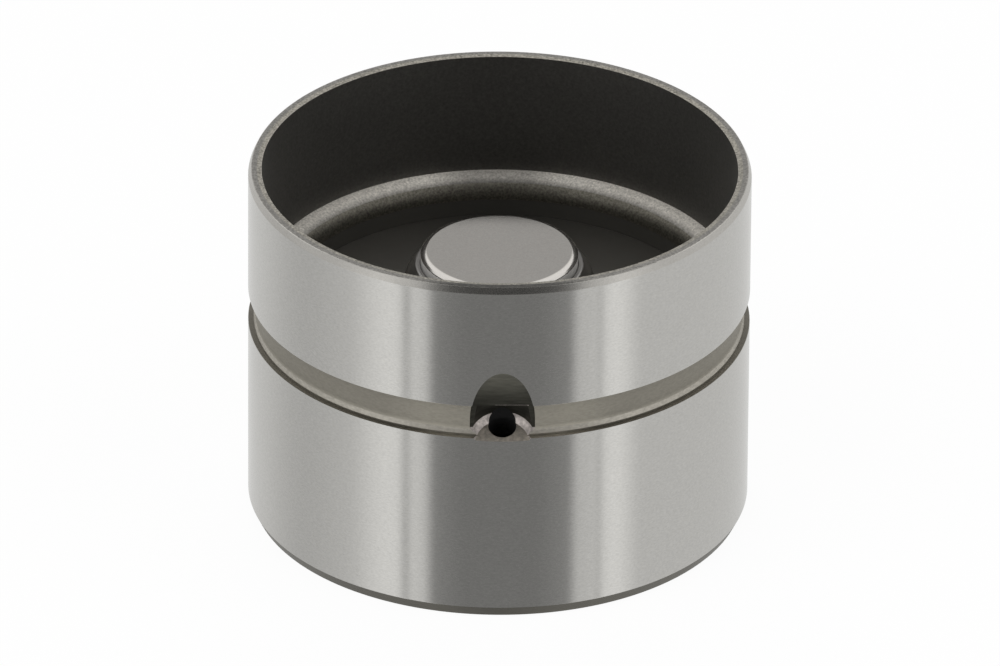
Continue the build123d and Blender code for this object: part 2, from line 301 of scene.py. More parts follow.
class Finish(Enum):
    """The finishes of the tappet's pieces, several of them carrying painted light and shade."""

    SKIRT = SteelFinish(
        "ground_skirt", (0.56, 0.552, 0.535), 0.14, anisotropic=0.7, grain=0.10, grain_run=2.2,
        grain_depth=0.0005, grain_shade=0.20,
    )
    CAM_CHAMFER = SteelFinish("cam_chamfer", (0.147, 0.14, 0.123), 0.42, grain=0.12, grain_shade=0.12)
    CAM_FACE = SteelFinish("cam_face", (0.52, 0.51, 0.49), 0.28)
    # Groove floor: painted highlight, brighter at its foot next to the light strip (fade) and near the middle plane
    # (parting).
    GROOVE = SteelFinish(
        "turned_groove_painted_light", (0.29, 0.273, 0.235), 0.58, metallic=0.75, grain=0.12, grain_run=3.0, grain_shade=0.25,
        fade=(14.66, 14.95, 1.3), parting=(4.0, 9.0, 1.45),
    )
    # Painted highlight: the light strip low in the groove, brighter still near the middle plane.
    GROOVE_HIGHLIGHT = SteelFinish(
        "groove_painted_highlight", (0.46, 0.435, 0.385), 0.38, metallic=0.8, grain=0.16, grain_run=2.0, grain_shade=0.4,
        parting=(3.5, 6.0, 1.25),
    )
    # Painted shade in the ledge and step at the groove's foot, less dark near the middle plane.
    GROOVE_CORNER_SHADE = SteelFinish(
        "groove_painted_shade", (0.235, 0.222, 0.195), 0.45, grain=0.12, grain_shade=0.2, parting=(3.5, 7.0, 1.8)
    )
    RIM_CHAMFER = SteelFinish("rim_chamfer", (0.52, 0.505, 0.48), 0.24, grain=0.12, grain_run=1.5, grain_shade=0.15)
    # The rim face is darker on the stretch nearest the camera (front).
    RIM = SteelFinish(
        "rim_face", (0.295, 0.284, 0.268), 0.40, grain=0.15, grain_run=1.0, grain_shade=0.9, grain_depth=0.006,
        front=(-16.9, -16.0, 0.35),
    )
    DEBURR = SteelFinish(
        "rim_deburr", (0.37, 0.35, 0.31), 0.42, grain=0.16, grain_run=1.0, grain_shade=1.3, grain_depth=0.01
    )
    # Phosphated wall, with painted shade darkening it towards its foot (fade).
    WALL = SteelFinish(
        "phosphated_wall_painted_shade", (0.172, 0.168, 0.160), 0.50, grain=0.2, grain_run=1.0, grain_shade=0.4,
        fade=(16.9, 20.0, 0.8),
    )
    # The bead's top: a light, nearly matt copy of the bead's steel as painted light, with painted shade down its
    # round (fade) and near the middle plane (parting).
    BEAD_TOP_LIT = SteelFinish(
        "bead_top_painted_light", (0.575, 0.546, 0.495), 0.55, metallic=0.15, grain=0.16, grain_run=1.0, grain_shade=0.9,
        grain_depth=0.012, fade=(16.45, 16.85, 0.35), parting=(1.5, 5.5, 0.5),
    )
    SHOULDER = SteelFinish(
        "shoulder_bead", (0.17, 0.16, 0.135), 0.46, grain=0.16, grain_run=1.0, grain_shade=1.0, grain_depth=0.01
    )
    WELL = SteelFinish("smooth_well", (0.13, 0.126, 0.116), 0.42, metallic=0.88)
    CHAMBER = SteelFinish("phosphated_chamber", (0.12, 0.115, 0.105), 0.55)
    # Pocket wall, with painted shade darkening it downwards into the pocket (fade).
    POCKET = SteelFinish(
        "milled_pocket_painted_shade", (0.23, 0.225, 0.19), 0.45, grain=0.22, grain_shade=0.6, fade=(16.6, 19.2, 0.35)
    )
    POCKET_FACE = SteelFinish(
        "pocket_floor", (0.43, 0.39, 0.34), 0.42, metallic=0.8, grain=0.3, grain_run=1.0, grain_shade=0.8
    )
    # Lighter and less metallic than the pocket's floor: a painted highlight on the bevel round the well's floor and
    # on the lip line.
    POCKET_BEVEL = SteelFinish(
        "pocket_bevel_painted_highlight", (0.50, 0.455, 0.43), 0.35, metallic=0.6, grain=0.3, grain_run=1.0, grain_shade=1.0
    )
    # Near-black and matt: painted shade inside the drilled hole and its mouth.
    OIL_HOLE = SteelFinish("oil_hole_painted_shade", (0.014, 0.014, 0.014), 0.80, metallic=0.0)
    WEB = SteelFinish("phosphated_web", (0.165, 0.158, 0.145), 0.52)
    SLEEVE = SteelFinish("pressed_sleeve", (0.30, 0.29, 0.28), 0.34)
    BUTTON = SteelFinish("ground_button", (0.507, 0.486, 0.462), 0.10, grain=0.12, grain_run=1.0, grain_shade=0.15)
    BUTTON_EDGE = SteelFinish("button_edge", (0.52, 0.50, 0.48), 0.18)
    # Very light and mostly matt, darkened downwards from the button's edge (fade): a painted sheen under the edge
    # fading into painted shade.
    CYLINDER = SteelFinish("ground_cylinder_painted_sheen", (0.88, 0.86, 0.83), 0.34, metallic=0.2, fade=(18.5, 19.2, 0.38))
    ELEMENT = SteelFinish("element_steel", (0.50, 0.49, 0.47), 0.28)
    BALL = SteelFinish("ball_steel", (0.62, 0.62, 0.62), 0.08)
    WIRE = SteelFinish("spring_wire", (0.42, 0.41, 0.39), 0.30)


MATERIALS: dict[Finish, bpy.types.Material] = {}


# Meshes and objects


def put_in_scene(name: str, data: bpy.types.ID) -> bpy.types.Object:
    """Make an object of a mesh, lamp or camera and link it.

    Args:
        name: The object's name.
        data: What it shows.

    Returns:
        The new object.
    """
    made = bpy.data.objects.new(name, data)
    bpy.context.scene.collection.objects.link(made)
    return made


def lasting_mesh(name: str, bm: bmesh.types.BMesh) -> bpy.types.Mesh:
    """Turn a mesh under construction into a lasting one.

    Args:
        name: The mesh's name.
        bm: The mesh under construction, which is freed.

    Returns:
        The mesh.
    """
    mesh = bpy.data.meshes.new(name)
    bm.to_mesh(mesh)
    bm.free()
    return mesh


def finished_object(name: str, bm: bmesh.types.BMesh, finishes: list[Finish]) -> bpy.types.Object:
    """Turn a mesh under construction into an object.

    Args:
        name: The object's name.
        bm: The mesh in millimetres, which is freed.
        finishes: What its material numbers mean.

    Returns:
        The new object, still in millimetres.
    """
    mesh = lasting_mesh(name, bm)
    for finish in finishes:
        mesh.materials.append(MATERIALS[finish])
    return put_in_scene(name, mesh)


def mark(faces: Iterable[bmesh.types.BMFace], number: int) -> None:
    """Give faces a material number."""
    for face in faces:
        face.material_index = number


def round_rod(radius: float, length: float, place: Matrix, segments: int, number: int) -> bmesh.types.BMesh:
    """Start a mesh with a round rod.

    Args:
        radius: The rod's radius.
        length: Its length.
        place: Where its middle lies and how it is turned; it lies along that place's Z.
        segments: Faces round it.
        number: Material number for all its faces.

    Returns:
        The mesh under construction.
    """
    bm = bmesh.new()
    bmesh.ops.create_cone(
        bm, cap_ends=True, segments=segments, radius1=radius, radius2=radius, depth=length, matrix=place
    )
    mark(bm.faces, number)
    return bm


# Turned pieces


@dataclass(frozen=True)
class Corner:
    """A corner of a turned outline, the finish of the stretch that starts there and how far it is rounded."""

    radius: float
    height: float
    finish: Finish
    rounding: float = 0.0
    steps: int = 2


def distance_to_stretch(point: tuple[float, float], first: Corner, second: Corner) -> float:
    """How far a point of the section lies from the stretch between two corners.

    Args:
        point: The point's radius and height.
        first: The corner that starts the stretch.
        second: The corner that ends it.

    Returns:
        The distance in millimetres.
    """
    run = (second.radius - first.radius, second.height - first.height)
    offset = (point[0] - first.radius, point[1] - first.height)
    length = run[0] ** 2 + run[1] ** 2
    share = max(0.0, min(1.0, (offset[0] * run[0] + offset[1] * run[1]) / length)) if length else 0.0
    return math.hypot(offset[0] - share * run[0], offset[1] - share * run[1])


@dataclass
class TurnedPiece:
    """A solid of revolution about the tappet's axis, with a finish on each stretch of its outline."""

    outline: list[Corner]
    segments: int = 360
    finishes: list[Finish] = field(default_factory=list)

    def __post_init__(self) -> None:
        """List the finishes once each, in the order of the outline."""
        for corner in self.outline:
            if corner.finish not in self.finishes:
                self.finishes.append(corner.finish)

    def stretches(self) -> list[tuple[Corner, Corner]]:
        """Pair each corner with the next.

        Returns:
            The pairs, with the closing one where the outline is a ring's.
        """
        pairs = list(zip(self.outline, self.outline[1:]))
        if self.outline[0].radius > 0:
            pairs.append((self.outline[-1], self.outline[0]))
        return pairs

    def turn(self, name: str) -> bpy.types.Object:
        """Turn the outline a full round and round its corners.

        Args:
            name: The new object's name.

        Returns:
            The object, with its finishes on its faces.
        """
        bm = bmesh.new()
        points = {corner: bm.verts.new((corner.radius, 0.0, corner.height)) for corner in self.outline}
        for first, second in self.stretches():
            bm.edges.new((points[first], points[second]))
        bmesh.ops.spin(
            bm,
            geom=bm.verts[:] + bm.edges[:],
            cent=(0, 0, 0),
            axis=(0, 0, 1),
            dvec=(0, 0, 0),
            angle=2 * math.pi,
            steps=self.segments,
            use_merge=True,
            use_duplicate=False,
        )
        bmesh.ops.remove_doubles(bm, verts=bm.verts[:], dist=MERGE)
        bmesh.ops.recalc_face_normals(bm, faces=bm.faces[:])
        for corner in self.outline:
            if corner.rounding:
                self.round_corner(bm, corner)
        bmesh.ops.dissolve_degenerate(bm, dist=SLIVER, edges=bm.edges[:])
        self.paint(bm)
        return finished_object(name, bm, self.finishes)

    def round_corner(self, bm: bmesh.types.BMesh, corner: Corner) -> None:
        """Bevel the ring of edges that one corner left.

        Args:
            bm: The turned mesh.
            corner: The corner to round.
        """
        ring = [edge for edge in bm.edges if all(self.at_corner(vert, corner) for vert in edge.verts)]
        bmesh.ops.bevel(
            bm,
            geom=ring,
            offset=corner.rounding,
            offset_type="OFFSET",
            affect="EDGES",
            segments=corner.steps,
            profile=0.5,
            material=-1,
            clamp_overlap=False,
        )

    @staticmethod
    def at_corner(vert: bmesh.types.BMVert, corner: Corner) -> bool:
        """Whether a vertex lies on the ring of a corner."""
        place = vert.co
        return abs(place.z - corner.height) < NEAR and abs(place.xy.length - corner.radius) < NEAR

    def paint(self, bm: bmesh.types.BMesh) -> None:
        """Give each face the finish of the stretch of outline that it lies nearest to.

        Args:
            bm: The turned mesh.
        """
        pairs = self.stretches()
        for face in bm.faces:
            centre = face.calc_center_median()
            point = (math.hypot(centre.x, centre.y), centre.z)
            nearest = min(pairs, key=lambda pair: distance_to_stretch(point, *pair))
            face.material_index = self.finishes.index(nearest[0].finish)


def cut(target: bpy.types.Object, tool: bpy.types.Object) -> None:
    """Take a tool's shape out of a piece, for good.

    Args:
        target: The piece.
        tool: The tool, which is used up.
    """
    modifier = target.modifiers.new("cut", "BOOLEAN")
    modifier.operation = "DIFFERENCE"
    modifier.solver = "EXACT"
    modifier.material_mode = "INDEX"
    modifier.object = tool
    keep_modified(target)
    bpy.data.objects.remove(tool)


def keep_modified(piece: bpy.types.Object) -> None:
    """Make what a piece's modifiers show its own mesh.

    Args:
        piece: The piece, which loses its modifiers.
    """
    depsgraph = bpy.context.evaluated_depsgraph_get()
    mesh = bpy.data.meshes.new_from_object(piece.evaluated_get(depsgraph))
    piece.modifiers.clear()
    piece.data = mesh


def shade(piece: bpy.types.Object, straight: list[Finish]) -> None:
    """Smooth a piece, keep its edges sharp, its flats flat and its upright round walls exactly round.

    Args:
        piece: The piece, in millimetres.
        straight: Finishes that lie only on upright round walls.
    """
    piece.data.shade_smooth()
    piece.data.set_sharp_from_angle(angle=math.radians(SHARP_ANGLE))
    modifier = piece.modifiers.new("flats", "WEIGHTED_NORMAL")
    modifier.mode = "FACE_AREA"
    modifier.weight = 100
    modifier.keep_sharp = True
    keep_modified(piece)
    mesh = piece.data
    walls = [MATERIALS[finish] for finish in straight]
    upright = {number for number, material in enumerate(mesh.materials) if material in walls}
    normals = [normal.vector.copy() for normal in mesh.corner_normals]
    for polygon in mesh.polygons:
        if polygon.material_index in upright and abs(polygon.normal.z) < LEVEL:
            for corner in polygon.loop_indices:
                place = mesh.vertices[mesh.loops[corner].vertex_index].co
                normals[corner] = Vector((place.x, place.y, 0)).normalized()
    mesh.normals_split_custom_set(normals)


def hand_over(piece: bpy.types.Object, body: str, node: str) -> None:
    """Bring a piece to metres, hang it on the body that moves it and hide the frame's node it stands for.

    Args:
        piece: The piece, in millimetres.
        body: The body that moves it.
        node: The frame's node that it replaces.
    """
    piece.data.transform(Matrix.Scale(MM, 4))
    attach(piece, body)
    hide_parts(node)
    LOG.info("%s: %d faces on %s", piece.name, len(piece.data.polygons), body)


# The tappet


@dataclass
class Bucket:
    """The one-piece cup: cam disc, ground skirt with its oil groove, and the shoulder inside.

    Numbers gives each finish its material number, for the tools that cut the pocket.
    """

    diameter: float = 35.0
    height: float = 26.0
    cam_chamfer_width: float = 0.40
    cam_chamfer_height: float = 0.80
    rim_chamfer_width: float = 0.22
    rim_chamfer_height: float = 0.48
    cam_disc: float = 3.0
    rim_wall: float = 0.95
    rim_deburr_width: float = 0.32
    rim_deburr_height: float = 0.05
    shoulder_wall: float = 2.50
    shoulder_height: float = 16.95
    bead_share: float = 0.999
    bead_foot: float = 0.02
    chamber_wall: float = 3.0
    chamber_chamfer: float = 1.0
    web_seat: float = 13.20
    groove_bottom: float = 14.20
    groove_width: float = 2.50
    groove_depth: float = 0.50
    groove_root: float = 0.22
    edge_width: float = 0.12
    edge_low: float = 0.14
    edge_high: float = 0.47
    fine_round: float = 0.03
    edge_round: float = 0.04
    chamfer_round: float = 0.05
    rim_outer_round: float = 0.06
    rim_inner_round: float = 0.08
    step_round: float = 0.14
    pocket_width: float = 4.50
    pocket_arch: float = 4.05
    arch_steps: int = 96
    pocket_rise: float = 2.65
    pocket_drop: float = 0.20
    scoop_tilt: float = 15.0
    scoop_depth: float = 0.72
    well_head: float = 0.25
    well_depth: float = 2.0
    well_bevel: float = 0.40
    well_segments: int = 144
    floor_rise: float = 25.0
    hole_diameter: float = 1.94
    hole_slope: float = 68.0
    hole_inset: float = 1.20
    hole_segments: int = 72
    mouth_inset: float = 1.25
    mouth_rise: float = 0.9
    mouth_play: float = 0.01
    mouth_segments: int = 64
    lip_size: float = 0.08
    lip_ends: tuple[float, float] = (-0.5, 1.8)
    lip_segments: int = 16
    numbers: dict[Finish, int] = field(default_factory=dict)

    @property
    def radius(self) -> float:
        """Radius of the ground skirt."""
        return self.diameter / 2

    @property
    def groove_top(self) -> float:
        """Height of the groove's upper lip."""
        return self.groove_bottom + self.groove_width

    def outline(self) -> list[Corner]:
        """Draw the cup's section.

        Returns:
            Its corners, from the middle of the cam face round to the middle of its inside.
        """
        outside = self.radius
        root = outside - self.groove_depth
        step = root + self.edge_width
        rim = outside - self.rim_wall
        shoulder = outside - self.shoulder_wall
        chamber = outside - self.chamber_wall
        bead = rim - shoulder
        return [
            Corner(0, 0, Finish.CAM_FACE),
            Corner(outside - self.cam_chamfer_width, 0, Finish.CAM_CHAMFER, self.edge_round),
            Corner(outside, self.cam_chamfer_height, Finish.SKIRT, self.fine_round),
            # The ledge and step at the groove's foot carry painted shade, the strip above them a painted highlight.
            Corner(outside, self.groove_bottom, Finish.GROOVE_CORNER_SHADE, self.edge_round),
            Corner(step, self.groove_bottom, Finish.GROOVE_CORNER_SHADE),
            Corner(step, self.groove_bottom + self.edge_low, Finish.GROOVE_HIGHLIGHT, self.fine_round),
            Corner(root, self.groove_bottom + self.edge_high, Finish.GROOVE, self.step_round, steps=4),
            Corner(root, self.groove_top, Finish.GROOVE, self.groove_root, steps=5),
            Corner(outside, self.groove_top, Finish.SKIRT, self.fine_round),
            Corner(outside, self.height - self.rim_chamfer_height, Finish.RIM_CHAMFER, self.chamfer_round),
            Corner(outside - self.rim_chamfer_width, self.height, Finish.RIM, self.rim_outer_round, steps=3),
            Corner(rim + self.rim_deburr_width, self.height, Finish.DEBURR, self.rim_inner_round, steps=3),
            Corner(rim, self.height - self.rim_deburr_height, Finish.WALL, self.edge_round),
            # The bead's top carries painted light; the lower half of its round takes the shoulder's darker steel.
            Corner(rim, self.shoulder_height, Finish.BEAD_TOP_LIT),
            Corner(shoulder, self.shoulder_height, Finish.SHOULDER, bead * self.bead_share, steps=16),
            Corner(shoulder, self.shoulder_height - bead - self.bead_foot, Finish.WELL),
            Corner(shoulder, self.web_seat, Finish.CHAMBER),
            Corner(chamber, self.web_seat, Finish.CHAMBER),
            Corner(chamber, self.cam_disc + self.chamber_chamfer, Finish.CHAMBER),
            Corner(chamber - self.chamber_chamfer, self.cam_disc, Finish.CHAMBER),
            Corner(0, self.cam_disc, Finish.CHAMBER),
        ]

    def in_front(self, inset: float, height: float) -> Vector:
        """A point on the pocket's middle plane, so far in from the skirt and so high."""
        return Vector((0, inset - self.radius, height))

    @property
    def pocket_top(self) -> float:
        """Height of the arch's crown."""
        return self.groove_top + self.pocket_rise

    @property
    def pocket_foot(self) -> float:
        """Height at which the pocket's floor meets the skirt."""
        return self.groove_bottom - self.pocket_drop

    def scoop_tool(self) -> bpy.types.Object:
        """The arched scoop above and across the groove, with its leaning wall and rising floor.

        Returns:
            The cutting tool.
        """
        half = self.pocket_width / 2
        springing = self.pocket_top - self.pocket_arch
        turns = [math.pi * step / self.arch_steps for step in range(self.arch_steps + 1)]
        arch = [(half * math.cos(turn), springing + self.pocket_arch * math.sin(turn)) for turn in turns]
        arch += [(-half, self.cam_disc), (half, self.cam_disc)]
        bm = bmesh.new()
        near = bm.faces.new([bm.verts.new((x, -self.radius - half, z)) for x, z in arch])
        solid = bmesh.ops.extrude_face_region(bm, geom=[near], use_keep_orig=True)
        moved = [item for item in solid["geom"] if isinstance(item, bmesh.types.BMVert)]
        bmesh.ops.translate(bm, verts=moved, vec=(0, 2 * half, 0))
        wall = self.numbers[Finish.POCKET]
        mark(bm.faces, wall)
        tilt = math.radians(self.scoop_tilt)
        self.trim(bm, self.in_front(0, self.pocket_top), Vector((0, math.cos(tilt), math.sin(tilt))), wall)
        self.trim(bm, self.in_front(self.scoop_depth, 0), Vector((0, 1, 0)), wall)
        self.bevel_floor(bm, self.trim_floor(bm))
        bmesh.ops.recalc_face_normals(bm, faces=bm.faces[:])
        return finished_object("scoop_tool", bm, [])

    def well_tool(self) -> bpy.types.Object:
        """The round well behind the groove, as steep as the scoop's wall, bevelled at its floor.

        Returns:
            The cutting tool.
        """
        radius = self.pocket_width / 2
        tilt = math.radians(self.scoop_tilt)
        rise = math.radians(self.floor_rise)
        deepest = self.in_front(self.well_depth, self.pocket_foot + self.well_depth * math.tan(rise))
        middle = deepest - Vector((0, radius * math.cos(tilt), radius * math.sin(tilt)))
        place = Matrix.Translation(middle) @ Matrix.Rotation(tilt, 4, "X")
        wall = self.numbers[Finish.POCKET]
        bm = round_rod(radius, 2 * self.height, place, self.well_segments, wall)
        floor = self.trim_floor(bm)
        self.trim(bm, self.in_front(0, self.groove_top - self.well_head), Vector((0, 0, 1)), wall)
        self.bevel_floor(bm, floor)
        bmesh.ops.recalc_face_normals(bm, faces=bm.faces[:])
        return finished_object("well_tool", bm, [])

    def trim_floor(self, bm: bmesh.types.BMesh) -> list[bmesh.types.BMFace]:
        """Cut a tool off along the pocket's rising floor.

        Args:
            bm: The tool.

        Returns:
            The floor's faces.
        """
        rise = math.radians(self.floor_rise)
        under = Vector((0, math.sin(rise), -math.cos(rise)))
        return self.trim(bm, self.in_front(0, self.pocket_foot), under, self.numbers[Finish.POCKET_FACE])

    def bevel_floor(self, bm: bmesh.types.BMesh, floor: list[bmesh.types.BMFace]) -> None:
        """Bevel a cutting tool round its floor.

        Args:
            bm: The tool.
            floor: The floor's faces.
        """
        edges = [edge for face in floor for edge in face.edges]
        old = set(bm.faces)
        made = bmesh.ops.bevel(
            bm, geom=edges, offset=self.well_bevel, affect="EDGES", segments=1, profile=0.5, material=-1
        )
        mark(set(made["faces"]) - old, self.numbers[Finish.POCKET_BEVEL])

    @staticmethod
    def trim(bm: bmesh.types.BMesh, point: Vector, away: Vector, number: int) -> list[bmesh.types.BMFace]:
        """Cut a closed tool with a plane and drop what lies on the away side.

        Args:
            bm: The tool.
            point: A point on the plane.
            away: The side to drop.
            number: Material number for the face that closes the cut.

        Returns:
            The closing faces.
        """
        made = bmesh.ops.bisect_plane(
            bm,
            geom=bm.verts[:] + bm.edges[:] + bm.faces[:],
            dist=SLIVER,
            plane_co=point,
            plane_no=away,
            clear_outer=True,
            clear_inner=False,
        )
        rim = [item for item in made["geom_cut"] if isinstance(item, bmesh.types.BMEdge)]
        filled = bmesh.ops.contextual_create(bm, geom=rim)
        mark(filled["faces"], number)
        return filled["faces"]

    def hole_tool(self) -> bpy.types.Object:
        """The drill that opens the well's floor into the chamber under the web.

        Returns:
            The cutting tool.
        """
        slope = math.radians(self.hole_slope)
        rise = math.tan(math.radians(self.floor_rise))
        mouth = self.in_front(self.hole_inset, self.pocket_foot + self.hole_inset * rise)
        drill = Vector((0, math.cos(slope), -math.sin(slope)))
        depth = self.chamber_wall / math.cos(slope)
        radius = self.hole_diameter / 2
        turn = drill.to_track_quat("Z", "Y").to_matrix().to_4x4()
        place = Matrix.Translation(mouth + drill * (depth - radius) / 2) @ turn
        bm = round_rod(radius, depth + radius, place, self.hole_segments, self.numbers[Finish.OIL_HOLE])
        return finished_object("hole_tool", bm, [])

    def mouth_tool(self) -> bpy.types.Object:
        """The ball-nosed cut that opens the hole's mouth through the bevel.

        Returns:
            The cutting tool.
        """
        bm = bmesh.new()
        bmesh.ops.create_uvsphere(
            bm,
            u_segments=self.mouth_segments,
            v_segments=self.mouth_segments // 2,
            radius=self.hole_diameter / 2 - self.mouth_play,
            matrix=Matrix.Translation(self.in_front(self.mouth_inset, self.pocket_foot + self.mouth_rise)),
        )
        mark(bm.faces, self.numbers[Finish.OIL_HOLE])
        return finished_object("mouth_tool", bm, [])

    def lip_tool(self) -> bpy.types.Object:
        """A thin rounded cut along part of the edge between the scoop's wall and the well under it, in the bevel's
        finish as a painted highlight.

        Returns:
            The cutting tool.
        """
        left, right = self.lip_ends
        middle = self.in_front(self.scoop_depth, self.groove_top - self.well_head)
        middle.x = (left + right) / 2
        place = Matrix.Translation(middle) @ Matrix.Rotation(math.pi / 2, 4, "Y")
        # The lip takes the bevel's finish, a painted highlight along the edge.
        lip_highlight = self.numbers[Finish.POCKET_BEVEL]
        bm = round_rod(self.lip_size / 2, right - left, place, self.lip_segments, lip_highlight)
        return finished_object("lip_tool", bm, [])

    def build(self) -> bpy.types.Object:
        """Turn the cup, scoop the pocket, drill the hole and dress it.

        Returns:
            The bucket, riding on its body.
        """
        turned = TurnedPiece(self.outline())
        turned.finishes += [Finish.POCKET, Finish.POCKET_FACE, Finish.POCKET_BEVEL, Finish.OIL_HOLE]
        self.numbers = {finish: number for number, finish in enumerate(turned.finishes)}
        piece = turned.turn("tappet_bucket")
        for tool in (self.scoop_tool, self.well_tool, self.hole_tool, self.mouth_tool, self.lip_tool):
            cut(piece, tool())
        shade(piece, [Finish.SKIRT])
        hand_over(piece, "bucket", "bucket_shell")
        return piece


@dataclass
class GuideWeb:
    """The pressed web that closes the oil chamber, raised at the middle into the guide sleeve."""

    outer_radius: float = 15.0
    thickness: float = 1.0
    top: float = 14.20
    upper_fillet: float = 1.6
    lower_chamfer: float = 0.6
    bore_radius: float = 5.52
    wall: float = 1.08
    land: float = 0.33
    cone: float = 1.0
    edge_round: float = 0.05
    land_round: float = 0.10
    cone_round: float = 0.4
    sleeve_top: float = 18.55
    sleeve_bottom: float = 8.85

    def outline(self) -> list[Corner]:
        """Draw the web's section.

        Returns:
            Its corners, from the seat in the bucket round the sleeve and back.
        """
        sleeve = self.bore_radius + self.wall
        under = self.top - self.thickness
        return [
            Corner(self.outer_radius, under, Finish.WEB),
            Corner(self.outer_radius, self.top, Finish.WEB, self.edge_round),
            Corner(sleeve, self.top, Finish.SLEEVE, self.upper_fillet, steps=10),
            Corner(sleeve, self.sleeve_top - self.cone, Finish.SLEEVE, self.cone_round, steps=8),
            Corner(self.bore_radius + self.land, self.sleeve_top, Finish.SLEEVE, self.land_round, steps=4),
            Corner(self.bore_radius, self.sleeve_top, Finish.SLEEVE, self.edge_round),
            Corner(self.bore_radius, self.sleeve_bottom, Finish.WEB),
            Corner(sleeve, self.sleeve_bottom, Finish.WEB),
            Corner(sleeve, under, Finish.WEB, self.lower_chamfer, steps=4),
        ]

    def build(self) -> bpy.types.Object:
        """Turn the web with its sleeve and dress it.

        Returns:
            The web, riding on the bucket.
        """
        piece = TurnedPiece(self.outline()).turn("web_with_sleeve")
        shade(piece, [])
        hand_over(piece, "bucket", "guide_web")
        return piece


@dataclass
class ElementCylinder:
    """The ground cup of the hydraulic element, whose closed top meets the valve stem."""

    radius: float = 5.5
    top: float = 19.50
    crown: float = 1.60
    bore_radius: float = 4.2
    bottom: float = 7.29
    bevel: float = 0.20
    edge_size: float = 0.28
    edge_round: float = 0.22
    edge_foot: float = 0.05
    segments: int = 256
    ring_groove_radius: float = 5.05
    ring_groove_low: float = 8.09
    ring_groove_high: float = 8.85

    def outline(self) -> list[Corner]:
        """Draw the cup's section.

        Returns:
            Its corners, from the middle of its top to the middle of its ceiling.
        """
        ceiling = self.top - self.crown
        return [
            Corner(0, self.top, Finish.BUTTON),
            Corner(self.radius - self.edge_size, self.top, Finish.BUTTON_EDGE, self.edge_round, steps=6),
            Corner(self.radius, self.top - self.edge_size, Finish.CYLINDER, self.edge_foot, steps=3),
            Corner(self.radius, self.ring_groove_high, Finish.CYLINDER),
            Corner(self.ring_groove_radius, self.ring_groove_high, Finish.CYLINDER),
            Corner(self.ring_groove_radius, self.ring_groove_low, Finish.CYLINDER),
            Corner(self.radius, self.ring_groove_low, Finish.CYLINDER),
            Corner(self.radius, self.bottom + self.bevel, Finish.CYLINDER),
            Corner(self.radius - self.bevel, self.bottom, Finish.CYLINDER),
            Corner(self.bore_radius + self.bevel, self.bottom, Finish.CYLINDER),
            Corner(self.bore_radius, self.bottom + self.bevel, Finish.CYLINDER),
            Corner(self.bore_radius, ceiling, Finish.CYLINDER),
            Corner(0, ceiling, Finish.CYLINDER),
        ]

    def build(self) -> bpy.types.Object:
        """Turn the cylinder and dress it.

        Returns:
            The cylinder, riding on its own body.
        """
        piece = TurnedPiece(self.outline(), self.segments).turn("element_cylinder")
        shade(piece, [])
        hand_over(piece, "lash_element", "cylinder")
        return piece


@dataclass
class Coil:
    """A round-wire spring between two seats."""

    name: str
    node: str
    joint: str
    wire: float
    mean_diameter: float
    turns: float
    travel: float
    fixed_at_top: bool
    steps_a_turn: int = 48
    sides: int = 14

    def build(self) -> bpy.types.Object:
        """Wind the wire and close its ends.

        Returns:
            The spring, riding on the bucket.
        """
        low, high = (corner.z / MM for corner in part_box(self.node))
        rise = high - low - self.wire
        steps = round(self.turns * self.steps_a_turn)
        start = Matrix.Translation((self.mean_diameter / 2, 0, low + self.wire / 2))
        upright = start @ Matrix.Rotation(math.pi / 2, 4, "X")
        bm = bmesh.new()
        bmesh.ops.create_circle(bm, segments=self.sides, radius=self.wire / 2, matrix=upright)
        bmesh.ops.spin(
            bm,
            geom=bm.verts[:] + bm.edges[:],
            cent=(0, 0, 0),
            axis=(0, 0, 1),
            dvec=(0, 0, rise / steps),
            angle=2 * math.pi * self.turns,
            steps=steps,
            use_merge=False,
            use_duplicate=False,
        )
        bmesh.ops.holes_fill(bm, edges=[edge for edge in bm.edges if edge.is_boundary], sides=self.sides)
        bmesh.ops.recalc_face_normals(bm, faces=bm.faces[:])
        piece = finished_object(self.name, bm, [Finish.WIRE])
        shade(piece, [])
        hand_over(piece, "bucket", self.node)
        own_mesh(piece)
        return piece


@dataclass
class InnerParts:
    """The small parts inside the element, which keep the frame's own meshes."""

    finishes: dict[str, Finish] = field(
        default_factory=lambda: {
            "retaining_ring": Finish.WIRE,
            "piston": Finish.ELEMENT,
            "ball_cap": Finish.ELEMENT,
            "check_ball": Finish.BALL,
        }
    )

    def dress(self) -> None:
        """Put a finish on each part."""
        for node, finish in self.finishes.items():
            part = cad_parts[node]
            part.data.materials.clear()
            part.data.materials.append(MATERIALS[finish])
            LOG.info("%s: %s", node, finish.value.name)


# Studio


@dataclass
class Viewpoint:
    """Where the photograph was taken from, in millimetres and degrees."""

    distance: float = 1300.0
    elevation: float = 28.85
    azimuth: float = -1.0
    roll: float = 0.41
    target: tuple[float, float, float] = (0.083, 0.0, 12.91)
    focal_pixels: float = 18620.0
    image_width: int = 1000
    sensor: float = 36.0
    clip: tuple[float, float] = (0.01, 20.0)

    def build(self) -> bpy.types.Object:
        """Make the camera and give it to the scene.

        Returns:
            The camera.
        """
        data = bpy.data.cameras.new("viewpoint")
        data.sensor_width = self.sensor
        data.lens = self.focal_pixels * self.sensor / self.image_width
        data.clip_start, data.clip_end = self.clip
        camera = put_in_scene("viewpoint", data)
        around, up = math.radians(self.azimuth), math.radians(self.elevation)
        back = Vector((math.sin(around) * math.cos(up), -math.cos(around) * math.cos(up), math.sin(up)))
        place = (Vector(self.target) + back * self.distance) * MM
        turn = (-back).to_track_quat("-Z", "Y").to_matrix().to_4x4()
        camera.matrix_world = Matrix.Translation(place) @ turn @ Matrix.Rotation(math.radians(self.roll), 4, "Z")
        bpy.context.scene.camera = camera
        return camera


